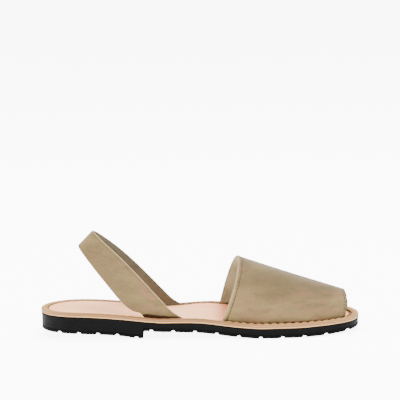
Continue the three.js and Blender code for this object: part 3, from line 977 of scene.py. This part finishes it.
def sheet(face, across, along, outer, inner, bulge, form):
    """A wall between two depths under a face, with rounded cut edges at both ends of v.

    Its corners are sections over u, each a closed loop. form(u, v) is added along the normal.
    Returns its points and faces, 1 on the cut edges and 0 elsewhere, and its u and v.
    """
    u = np.concatenate([[-SINK], np.linspace(0, 1, across + 1), [1 + SINK]])
    v = smooth_ends(along)
    half = (outer + inner) / 2
    upper, lower = (lerp(half, depth, SHOULDER_AT) for depth in (outer, inner))
    loop = [(0, half, 1.0), (0, upper, SHOULDER_BULGE)]
    loop += [(t, outer, 0.0) for t in v]
    loop += [(1, upper, SHOULDER_BULGE), (1, half, 1.0), (1, lower, SHOULDER_BULGE)]
    loop += [(t, inner, 0.0) for t in v[::-1]]
    loop += [(0, lower, SHOULDER_BULGE)]
    at_v, depth, out_by = (np.array(column) for column in zip(*loop))
    grid_u, grid_v = np.meshgrid(u, at_v, indexing="ij")
    normal, along_v = outward(face, grid_u, grid_v)
    sideways = unit(along_v) * np.where(grid_v < 0.5, -1.0, 1.0)[..., None]
    lift = form(grid_u, grid_v) - depth
    points = face(grid_u, grid_v) + normal * lift[..., None]
    points += sideways * (out_by * bulge)[None, :, None]
    rows, columns = grid_u.shape
    faces = grid_faces(rows, columns, False, True)
    middle = columns // 2
    for start in (0, (rows - 1) * columns):
        faces.append([start, start + 1, start + columns - 1])
        for k in range(1, middle - 1):
            a, b = start + k, start + columns - k
            faces.append([a, a + 1, b - 1, b])
        faces.append([start + middle - 1, start + middle, start + columns - middle + 1])
    cut = np.broadcast_to(out_by > 0, grid_u.shape).astype(float)
    return points, faces, cut, grid_u, grid_v


def smooth_ends(count):
    """Places from 0 to 1, closer at both ends."""
    even = np.linspace(0, 1, count + 1)
    return even - END_CROWDING * np.sin(2 * math.pi * even)


FOLDS_TO = RIDGE_AT + 0.05  # the folds end here, in shares of the way across
FOLDS_FADE = 0.2
FOLD_END = 0.05

# Soft folds of the vamp, in the shoe's own sizes: from one place to another, in millimetres
# along the sole and over the floor, on the inner side, with their width and depth.
FOLDS = [
    {"x0": 92, "z0": 19.5, "x1": 110, "z1": 17.5, "wide": 1.6, "deep": -0.45},
    {"x0": 90, "z0": 22.5, "x1": 108, "z1": 20.5, "wide": 1.8, "deep": 0.4},
    {"x0": 96, "z0": 26.0, "x1": 110, "z1": 23.5, "wide": 2.4, "deep": -0.4},
    {"x0": 38, "z0": 40.0, "x1": 66, "z1": 34.0, "wide": 6.0, "deep": -0.6},
    {"x0": 44, "z0": 30.0, "x1": 84, "z1": 26.0, "wide": 7.0, "deep": 0.5},
    {"x0": 58, "z0": 22.0, "x1": 92, "z1": 33.0, "wide": 5.0, "deep": -0.5},
]
# Soft tones of the nubuck, on the same two scales. Over 0 is darker, under 0 is lighter.
TONES = [
    {"x": 41, "z": 44, "wide": 15, "high": 6, "tone": 0.7},
    {"x": 66, "z": 41, "wide": 18, "high": 6, "tone": 0.7},
    {"x": 60, "z": 32, "wide": 17, "high": 6, "tone": 0.75},
    {"x": 99, "z": 31, "wide": 8, "high": 4, "tone": 0.25},
    {"x": 88, "z": 22, "wide": 12, "high": 4, "tone": 0.4},
    {"x": 38, "z": 20, "wide": 20, "high": 6, "tone": 0.2},
    {"x": 110, "z": 30, "wide": 6, "high": 6, "tone": -0.3},
    {"x": 44, "z": 53, "wide": 18, "high": 4, "tone": -0.2},
    {"x": -84, "z": 62, "wide": 9, "high": 9, "tone": 0.5},
    {"x": -71, "z": 51, "wide": 13, "high": 12, "tone": 0.7},
    {"x": -56, "z": 38, "wide": 13, "high": 11, "tone": 0.75},
    {"x": -90, "z": 77, "wide": 6, "high": 7, "tone": -0.8},
    {"x": -42, "z": 23, "wide": 14, "high": 6, "tone": 0.15},
]


def tones(points):
    """The marks that tone the nubuck darker and paler at some points."""
    x, z = points[..., 0] / MM, points[..., 2] / MM
    total = np.zeros(x.shape)
    for spot in TONES:
        away = ((x - spot["x"]) / spot["wide"]) ** 2 + ((z - spot["z"]) / spot["high"]) ** 2
        total += spot["tone"] * np.exp(-away)
    return {"worn": np.clip(total, 0, 1), "pale": np.clip(-total, 0, 1)}


def from_edge(face, u, v, end):
    """How far each place lies from the edge v = end, straight across."""
    u = np.clip(u, 0, 1)
    return np.linalg.norm(face(u, v) - face(u, np.full(np.shape(u), float(end))), axis=-1)


def row_press(away, row, wide):
    """1 on a line that runs beside an edge, 0 away from it."""
    return np.exp(-(((away - row) / wide) ** 2))


def vamp_form(u, v):
    """The folds, the press of the stitch row and the padded back edge."""
    back = from_edge(vamp_face, u, v, 0)
    padded = PAD_HEIGHT * row_press(back, PAD_MIDDLE, PAD_WIDTH)
    return vamp_folds(u, v) + padded - PRESS_DEPTH * row_press(back, BACK_ROW, PRESS_WIDTH)


def vamp_folds(u, v):
    """Soft troughs and ridges on the inner side, gone before the ridge."""
    place = vamp_face(np.clip(u, 0, 1), v) / MM
    lift = np.zeros(u.shape)
    for fold in FOLDS:
        start = np.array([fold["x0"], fold["z0"]])
        run = np.array([fold["x1"], fold["z1"]]) - start
        here = place[..., [0, 2]] - start
        t = np.clip((here @ run) / (run @ run), 0, 1)
        away = np.linalg.norm(here - t[..., None] * run, axis=-1)
        ends = np.sin(math.pi * np.clip(t * (1 - 2 * FOLD_END) + FOLD_END, 0, 1))
        lift += fold["deep"] * MM * np.exp(-((away / fold["wide"]) ** 2)) * ends
    return lift * smoothstep((FOLDS_TO - u) / FOLDS_FADE)


def beside_edge(face, u, distance, from_end):
    """The v that lies a distance in from the first or the last edge, for each u."""
    v = np.linspace(0, 1, SEARCH_STEPS)
    found = []
    for at in u:
        run = run_along(face(np.full(len(v), at), v))
        found.append(np.interp(run[-1] - distance if from_end else distance, run, v))
    return np.array(found)


def vamp_marks(points, cut, u, v, pitch):
    """Where the vamp's nubuck is toned, painted with shade at its foot, pressed by a seam or pale at
    a cut.
    """
    x = points[..., 0]
    height = points[..., 2] - INSOLE_Z.top(x)
    hole = welt_holes(np.where(u < 0.5, SOLE.share_at(x, 0), SOLE.share_at(x, 1)), pitch)
    # Painted shade along the vamp's foot, reaching higher at each hole of the welt
    foot = 1 - smoothstep((height - (CREASE_UP + CREASE_WAVE * hole)) / CREASE_FADE)
    back = from_edge(vamp_face, u, v, 0)
    far = smoothstep((u - FAR_FROM) / FAR_OVER)
    low_down = 1 - smoothstep((height - SEAM_DARK_UNDER) / SEAM_DARK_OVER)
    seam = row_press(back, BACK_ROW, lerp(SEAM_NARROW, SEAM_WIDE, low_down))
    seam *= lerp(SEAM_TONE, 1.0, low_down)
    toe = row_press(from_edge(vamp_face, u, v, 1), TOE_LINE, TOE_LINE_WIDTH)
    rim = RIM_TONE * (1 - far) * (1 - smoothstep((back - RIM_WIDTH) / RIM_FADE))
    return {
        **tones(points),
        "crease": foot * lerp(CREASE_TONE, 1.0, hole),
        # the seam's colour also darkens the cut edge on the far half
        "seam": np.clip(seam + FAR_CUT_TONE * far * cut + TOE_LINE_TONE * toe, 0, 1),
        "edge": np.maximum(CUT_TONE * cut, rim),
    }


def lining_marks(points, cut, most, low, over):
    """A lining whose tone deepens from the height low on, with its cut edges."""
    return {"edge": cut, "shade": most * smoothstep((points[..., 2] - low) / over)}


def upper_layer(node, *piece):
    """Adds one layer of the upper. piece is what add_piece() needs."""
    finish_piece(add_piece(*piece), "nubuck", node)


class SANDAL_OT_vamp(bpy.types.Operator):
    """Nubuck vamp and its lining over the forefoot, open behind and at the toe."""

    bl_idname = "sandal.vamp"
    bl_label = "Vamp"

    def execute(self, context):
        sizes = context.scene.sandal_sizes
        colours = context.scene.sandal_colours
        split = UPPER_WALL - sizes.lining
        form = (vamp_face, VAMP_ACROSS, VAMP_ALONG)
        skin = (0.0, split - GLUE_GAP, NUBUCK_BULGE)
        points, faces, cut, u, v = sheet(*form, *skin, vamp_form)
        marks = vamp_marks(points, cut, u, v, sizes.welt_pitch)
        nubuck = paint_nubuck(colours)
        upper_layer("vamp", "vamp_nubuck", points, faces, nubuck, marks)
        skin = (split + LINING_DROP, UPPER_WALL, LINING_BULGE)
        points, faces, cut, u, v = sheet(*form, *skin, vamp_folds)
        marks = lining_marks(points, cut, most=0.5, low=32 * MM, over=18 * MM)
        leather = paint_lining("vamp_lining_leather", colours.lining, colours.lining_edge)
        upper_layer("vamp", "vamp_lining", points, faces, leather, marks)
        return {"FINISHED"}


def strap_line(u, v):
    """1 on the pressed line beside the strap's front edge, on both of its sides."""
    aside = np.abs(u - 0.5)
    side = smoothstep(aside / STRAP_LINE_FROM) * smoothstep((0.5 - aside) / STRAP_LINE_TO)
    return side * row_press(from_edge(strap_face, u, v, 1), STRAP_ROW, STRAP_LINE_WIDTH)


def slot_shade(u, v):
    """1 where the strap dips into its slot beside the welt, on both sides. Its nubuck is painted
    with shade there.
    """
    place = strap_face(u, v)
    lens = np.clip((place[..., 0] - SLOT_FROM) / (SLOT_TO - SLOT_FROM), 0, 1)
    low = SLOT_BASE + SLOT_HEIGHT * smoothstep(lens / SLOT_OPENS) * (1 - lens) ** SLOT_TAPER
    dark = 1 - smoothstep((place[..., 2] - INSOLE_Z.top(place[..., 0]) - low) / SLOT_FADE)
    return dark * (1 - SLOT_PALER * smoothstep((lens - SLOT_PALER_FROM) / SLOT_PALER_OVER))


def strap_form(u, v):
    return -STRAP_PRESS * strap_line(u, v) - SLOT_DEPTH * slot_shade(u, v)


class SANDAL_OT_heel_strap(bpy.types.Operator):
    """Nubuck strap and its lining, from one side of the sole round the heel to the other."""

    bl_idname = "sandal.heel_strap"
    bl_label = "Heel strap"

    def execute(self, context):
        sizes = context.scene.sandal_sizes
        colours = context.scene.sandal_colours
        split = UPPER_WALL - sizes.lining
        form = (strap_face, STRAP_AROUND, STRAP_ACROSS)
        skin = (0.0, split - GLUE_GAP, NUBUCK_BULGE)
        points, faces, cut, u, v = sheet(*form, *skin, strap_form)
        marks = {
            "edge": cut,
            # painted shade in the slot
            "crease": slot_shade(u, v),
            "seam": STRAP_LINE_TONE * strap_line(u, v),
            **tones(points),
        }
        nubuck = bpy.data.materials.get("sand_nubuck") or paint_nubuck(colours)
        upper_layer("heel_strap", "strap_nubuck", points, faces, nubuck, marks)
        skin = (split, UPPER_WALL, LINING_BULGE)
        points, faces, cut, u, v = sheet(*form, *skin, strap_form)
        marks = lining_marks(points, cut, most=0.45, low=22 * MM, over=32 * MM)
        leather = paint_lining("strap_lining_leather", colours.strap_lining, colours.strap_edge)
        upper_layer("heel_strap", "strap_lining", points, faces, leather, marks)
        return {"FINISHED"}


# Stitches

WELT_STITCH_SHARE = 0.8  # share of the pitch that a stitch shows
VAMP_STITCH_SHARE = 0.5
WELT_STITCH_BOW = 0.25 * MM
VAMP_STITCH_BOW = 0.08 * MM
VAMP_STITCH_LOW = 0.1 * MM  # beside the vamp the thick stitch lies this much under the top
WELT_STITCH_SINK = 1.1  # how deep its ends go, in radii of the thread
RISE_BEHIND = 4 * MM  # the stitches start to rise this far behind the vamp's back foot
RISE_AHEAD = 2 * MM
RISE_OVER = 6 * MM
ROW_START = 0.012  # share of the way across where the vamp's rows start
ROW_POINTS = 160


class Pattern(Nodes):
    """A Geometry Nodes tree with named inputs."""

    def __init__(self, name):
        super().__init__(bpy.data.node_groups.new(name, "GeometryNodeTree"))
        self.given = self.tree.nodes.new("NodeGroupInput")
        self.result = self.tree.nodes.new("NodeGroupOutput")
        self.keys = {}
        self.line = self.input("Geometry", "Geometry")
        kind = "NodeSocketGeometry"
        self.tree.interface.new_socket("Geometry", in_out="OUTPUT", socket_type=kind)

    def input(self, name, kind):
        kind = "NodeSocket" + kind
        socket = self.tree.interface.new_socket(name, in_out="INPUT", socket_type=kind)
        self.keys[name] = socket.identifier
        return Wire(self, self.given.outputs[name])


def stitch_pattern():
    """Lays bowed stitches along an edge line. Its attribute up says which way they bow."""
    made = Pattern("stitch_row")
    pitch, length, radius, bow, sink = (
        made.input(name, "Float") for name in ("Pitch", "Length", "Radius", "Bow", "Sink")
    )
    material = made.input("Material", "Material")

    def geometry(kind, settings=None, **sockets):
        """A geometry or function node whose sockets are named with _ for a space."""
        sockets = {name.replace("_", " "): value for name, value in sockets.items()}
        return made.node(kind, settings, sockets)

    def point(x, z):
        return geometry("ShaderNodeCombineXYZ", X=x, Z=z)

    curve = geometry("GeometryNodeMeshToCurve", Mesh=made.line)
    spots = geometry("GeometryNodeResampleCurve", {"mode": "LENGTH"}, Curve=curve, Length=pitch)
    tangent = geometry("GeometryNodeInputTangent")
    up = geometry("GeometryNodeInputNamedAttribute", {"data_type": "FLOAT_VECTOR"}, Name="up")
    align = "FunctionNodeAlignRotationToVector"
    turned = geometry(align, {"axis": "X"}, Vector=tangent)
    turned = geometry(align, {"axis": "Z", "pivot_axis": "X"}, Rotation=turned, Vector=up)
    half = length * 0.5
    thread = geometry(
        "GeometryNodeCurveQuadraticBezier",
        Resolution=THREAD_STEPS,
        Start=point(half * -1.0, sink * -1.0),
        Middle=point(0.0, bow * 2.0),
        End=point(half, sink * -1.0),
    )
    section = geometry("GeometryNodeCurvePrimitiveCircle", Resolution=THREAD_SIDES, Radius=radius)
    strand = geometry("GeometryNodeCurveToMesh", Curve=thread, Profile_Curve=section, Fill_Caps=True)
    placed = geometry("GeometryNodeInstanceOnPoints", Points=spots, Instance=strand, Rotation=turned)
    real = geometry("GeometryNodeRealizeInstances", Geometry=placed)
    smooth = geometry("GeometryNodeSetShadeSmooth", Geometry=real)
    finished = geometry("GeometryNodeSetMaterial", Geometry=smooth, Material=material)
    made.tree.links.new(finished.socket, made.result.inputs[0])
    return made


def stitch_row(name, rows, material, slot, **sizes):
    """Stitches along one or more lines, as one plain mesh. rows are (points, ups, closed)."""
    mesh = bpy.data.meshes.new(name + "_line")
    points, ups, edges = [], [], []
    for line, up, closed in rows:
        first = len(points)
        points += np.asarray(line).tolist()
        ups += np.asarray(up).tolist()
        edges += [(first + i, first + i + 1) for i in range(len(line) - 1)]
        if closed:
            edges.append((len(points) - 1, first))
    mesh.from_pydata(points, edges, [])
    layer = mesh.attributes.new("up", "FLOAT_VECTOR", "POINT")
    layer.data.foreach_set("vector", np.asarray(ups, np.float32).ravel())
    guide = add_object(name + "_guide", mesh)
    pattern = stitch_pattern()
    modifier = guide.modifiers.new("stitches", "NODES")
    modifier.node_group = pattern.tree
    for key, value in {**sizes, "Material": material}.items():
        modifier[pattern.keys[key]] = value
    guide.update_tag()
    bpy.context.view_layer.update()
    graph = bpy.context.evaluated_depsgraph_get()
    made = bpy.data.meshes.new_from_object(guide.evaluated_get(graph))
    guide.modifiers.remove(modifier)
    bpy.data.objects.remove(guide)
    if not len(made.polygons):
        raise RuntimeError(name + " has no stitches")
    made.name = name
    finish_piece(add_object(name, made), slot)


class SANDAL_OT_welt_stitches(bpy.types.Operator):
    """Thick pale stitches all round the inner edge of the welt."""

    bl_idname = "sandal.welt_stitches"
    bl_label = "Welt stitches"

    def execute(self, context):
        sizes = context.scene.sandal_sizes
        count = round(SOLE.length / sizes.welt_pitch)
        plan = SOLE.around(WELT_POINTS, sizes.welt_width - sizes.welt_thread)
        plan = np.roll(plan, -int(WELT_POINTS / count / 2), axis=0)
        x = plan[:, 0]
        beside_vamp = smoothstep((x - x_at(VAMP_BACK_FOOT) + RISE_BEHIND) / RISE_OVER)
        beside_vamp *= smoothstep((x_at(VAMP_TOE_INNER_FOOT) - x + RISE_AHEAD) / RISE_OVER)
        low = lerp(sizes.welt_thread, VAMP_STITCH_LOW, beside_vamp)
        line = np.column_stack([plan, WELT_Z.top(x) - low])
        pitch = run_along(np.vstack([line, line[:1]]))[-1] / count
        stitch_row(
            "welt_stitches",
            [(line, np.tile([0.0, 0.0, 1.0], (WELT_POINTS, 1)), True)],
            paint_thread("welt_thread", context.scene.sandal_colours.welt_thread),
            "natural_leather",
            Pitch=pitch,
            Length=pitch * WELT_STITCH_SHARE,
            Radius=sizes.welt_thread,
            Bow=WELT_STITCH_BOW,
            Sink=sizes.welt_thread * WELT_STITCH_SINK,
        )
        return {"FINISHED"}


class SANDAL_OT_vamp_stitches(bpy.types.Operator):
    """Dark stitch rows beside the vamp's back edge and toe edge, outside and on the lining."""

    bl_idname = "sandal.vamp_stitches"
    bl_label = "Vamp stitches"

    def execute(self, context):
        sizes = context.scene.sandal_sizes
        colours = context.scene.sandal_colours
        u = np.linspace(ROW_START, 1 - ROW_START, ROW_POINTS)
        outside, inside = [], []
        for from_end, distance in ((False, BACK_ROW), (True, TOE_ROW)):
            v = beside_edge(vamp_face, u, distance, from_end)
            normal = outward(vamp_face, u, v)[0]
            line = vamp_face(u, v)
            outside.append((line + normal * vamp_form(u, v)[:, None], normal, False))
            inner = line + normal * (vamp_folds(u, v) - UPPER_WALL)[:, None]
            inside.append((inner, -normal, False))
        thread = {
            "Pitch": sizes.vamp_pitch,
            "Length": sizes.vamp_pitch * VAMP_STITCH_SHARE,
            "Radius": sizes.vamp_thread,
            "Bow": VAMP_STITCH_BOW,
            "Sink": sizes.vamp_thread,
        }
        dark = paint_thread("vamp_thread", colours.vamp_thread)
        stitch_row("vamp_stitches", outside, dark, "nubuck", **thread)
        pale = paint_thread("lining_thread", colours.lining)
        stitch_row("lining_stitches", inside, pale, "nubuck", **thread)
        return {"FINISHED"}


# Stage

CAMERA_FAR = 2.5
CAMERA_ABOVE = math.radians(10.25)
CAMERA_ROLL = math.radians(1.35)
SENSOR = 36 * MM
FLOOR_SIDE = 16.0
FLOOR_GLOW = 7.5
SKY_LIGHT = 1.3
PHOTO_PIXELS = 400
PIXEL = 0.79 * MM  # what one pixel of the picture spans at the shoe
SEEN_POINT = Vector((0, -1.9 * MM, 25 * MM))
SEEN_AT = (199.3, 298.1)  # where that point lies in the picture


def place_camera():
    """A long lens whose picture has the shoe low in the frame."""
    lens = bpy.data.cameras.new("camera")
    camera = add_object("camera", lens)
    lens.sensor_width = SENSOR / MM
    lens.lens = SENSOR * CAMERA_FAR / (PHOTO_PIXELS * PIXEL) / MM
    lens.clip_end = 50
    side = (SEEN_AT[0] - PHOTO_PIXELS / 2) * PIXEL
    down = (SEEN_AT[1] - PHOTO_PIXELS / 2) * PIXEL
    across = side * math.cos(CAMERA_ROLL) - down * math.sin(CAMERA_ROLL)
    below = side * math.sin(CAMERA_ROLL) + down * math.cos(CAMERA_ROLL)
    pan = math.atan2(across, CAMERA_FAR)
    tilt = CAMERA_ABOVE - math.atan2(below, CAMERA_FAR)
    back = Vector((0, -math.cos(CAMERA_ABOVE), math.sin(CAMERA_ABOVE)))
    spot = SEEN_POINT + back * CAMERA_FAR
    turn = Matrix.Rotation(pan, 4, "Z") @ Matrix.Rotation(math.pi / 2 - tilt, 4, "X")
    camera.matrix_world = Matrix.Translation(spot) @ turn @ Matrix.Rotation(-CAMERA_ROLL, 4, "Z")
    bpy.context.scene.camera = camera


def add_light(name, place, aim_at, size, power):
    lamp = bpy.data.lights.new(name, "AREA")
    lamp.shape = "RECTANGLE"
    lamp.size, lamp.size_y = size
    lamp.energy = power
    light = add_object(name, lamp)
    light.location = place
    aim = Vector(aim_at) - Vector(place)
    light.rotation_euler = aim.to_track_quat("-Z", "Y").to_euler()


class SANDAL_OT_stage(bpy.types.Operator):
    """Pale floor, soft studio light and the camera."""

    bl_idname = "sandal.stage"
    bl_label = "Stage"

    def execute(self, context):
        place_camera()
        half = FLOOR_SIDE / 2
        corners = [(-half, -half, 0), (half, -half, 0), (half, half, 0), (-half, half, 0)]
        mesh = bpy.data.meshes.new("studio_floor")
        mesh.from_pydata(corners, [], [(0, 1, 2, 3)])
        mesh.materials.append(paint_floor(context.scene.sandal_colours))
        add_object("studio_floor", mesh)
        world = bpy.data.worlds.new("studio")
        world.use_nodes = True
        sky = world.node_tree.nodes["Background"]
        sky.inputs["Color"].default_value = (1, 1, 1, 1)
        sky.inputs["Strength"].default_value = SKY_LIGHT
        context.scene.world = world
        add_light("overhead", (0.1, 0.2, 1.6), aim_at=(0, 0, 0), size=(1.8, 1.4), power=90)
        upper_part = (0, 0, 0.03)
        add_light("front_left", (-1.3, -1.5, 1.1), upper_part, size=(1.0, 1.0), power=6)
        add_light("front_right", (1.5, -1.2, 0.8), upper_part, size=(0.9, 0.9), power=3)
        return {"FINISHED"}


# Settings


def size(name, description, default):
    return FloatProperty(name=name, description=description, default=default, min=0.0, unit="LENGTH")


def tint(name, description, red, green, blue):
    """A colour as a screen shows it, from 0 to 255."""
    return FloatVectorProperty(
        name=name,
        description=description,
        default=(red / 255, green / 255, blue / 255),
        min=0.0,
        max=1.0,
        size=3,
        subtype="COLOR_GAMMA",
    )


class SandalSizes(bpy.types.PropertyGroup):
    """Sizes of the finer work."""

    welt_width: size("Welt width", "Width of the strip on the sole's edge", 5.3 * MM)
    welt_pitch: size("Welt stitch", "From one welt stitch to the next", 6.2 * MM)
    welt_thread: size("Welt thread", "Radius of the thick thread", 0.7 * MM)
    vamp_pitch: size("Vamp stitch", "From one vamp stitch to the next", 3.0 * MM)
    vamp_thread: size("Vamp thread", "Radius of the fine thread", 0.35 * MM)
    lining: size("Lining", "Thickness of the lining leather", 0.7 * MM)


class SandalColours(bpy.types.PropertyGroup):
    """Colours of the leathers, rubber and threads."""

    rubber: tint("Rubber", "Sole", 3, 3, 3)
    raw_edge: tint("Raw edge", "Layer on the rubber", 132, 94, 56)
    raw_line: tint("Raw line", "Pale line right over the rubber", 150, 116, 78)
    welt: tint("Welt side", "Cut side of the welt", 122, 84, 42)
    welt_top: tint("Welt top", "Grain side of the welt", 166, 124, 66)
    insole: tint("Insole", "Pale leather under the foot", 255, 186, 136)
    # Painted shade, with a red painted reflection, on the insole under the vamp
    insole_shade: tint("Covered insole", "Insole under the vamp", 198, 114, 74)
    nubuck: tint("Nubuck", "Vamp and strap", 99, 84, 51)
    nubuck_shade: tint("Nubuck shade", "Darker patches", 70, 56, 34)
    nubuck_rose: tint("Nubuck rose", "Warmer patches", 98, 71, 49)
    nubuck_light: tint("Nubuck light", "Brushed nap", 114, 98, 64)
    cut_edge: tint("Cut edge", "Edge of the nubuck", 196, 170, 128)
    lining: tint("Lining", "Inside of the vamp", 174, 174, 140)
    strap_lining: tint("Strap lining", "Inside of the strap", 88, 83, 64)
    lining_edge: tint("Lining edge", "Edge of the vamp's lining", 74, 62, 46)
    strap_edge: tint("Strap edge", "Edge of the strap's lining", 130, 108, 78)
    seam: tint("Seam", "Pressed line of a stitch row", 66, 50, 30)
    # Painted shade, laid in the creases, grooves and slots where pieces are tucked in
    crease: tint("Crease", "Dark line where pieces are tucked in", 52, 26, 10)
    welt_thread: tint("Welt thread", "Thick thread", 186, 134, 82)
    vamp_thread: tint("Vamp thread", "Fine thread", 20, 14, 8)
    floor: tint("Floor", "Studio floor", 248, 248, 248)


STEPS = (
    SANDAL_OT_outsole,
    SANDAL_OT_midsole,
    SANDAL_OT_welt,
    SANDAL_OT_insole,
    SANDAL_OT_vamp,
    SANDAL_OT_heel_strap,
    SANDAL_OT_welt_stitches,
    SANDAL_OT_vamp_stitches,
    SANDAL_OT_stage,
)


class SANDAL_PT_panel(bpy.types.Panel):
    """Lists the sandal's pieces, sizes and colours."""

    bl_idname = "SANDAL_PT_panel"
    bl_label = "Sandal"
    bl_space_type = "VIEW_3D"
    bl_region_type = "UI"
    bl_category = "Sandal"

    def draw(self, context):
        for step in STEPS:
            self.layout.operator(step.bl_idname)
        for group in (context.scene.sandal_sizes, context.scene.sandal_colours):
            for name in group.__annotations__:
                self.layout.prop(group, name)


CLASSES = (SandalSizes, SandalColours, *STEPS, SANDAL_PT_panel)


def register():
    for cls in CLASSES:
        bpy.utils.register_class(cls)
    bpy.types.Scene.sandal_sizes = PointerProperty(type=SandalSizes)
    bpy.types.Scene.sandal_colours = PointerProperty(type=SandalColours)


def unregister():
    del bpy.types.Scene.sandal_colours
    del bpy.types.Scene.sandal_sizes
    for cls in reversed(CLASSES):
        bpy.utils.unregister_class(cls)


def main():
    register()
    for step in STEPS:
        getattr(bpy.ops.sandal, step.bl_idname.split(".")[1])()


if __name__ == "__main__":
    main()
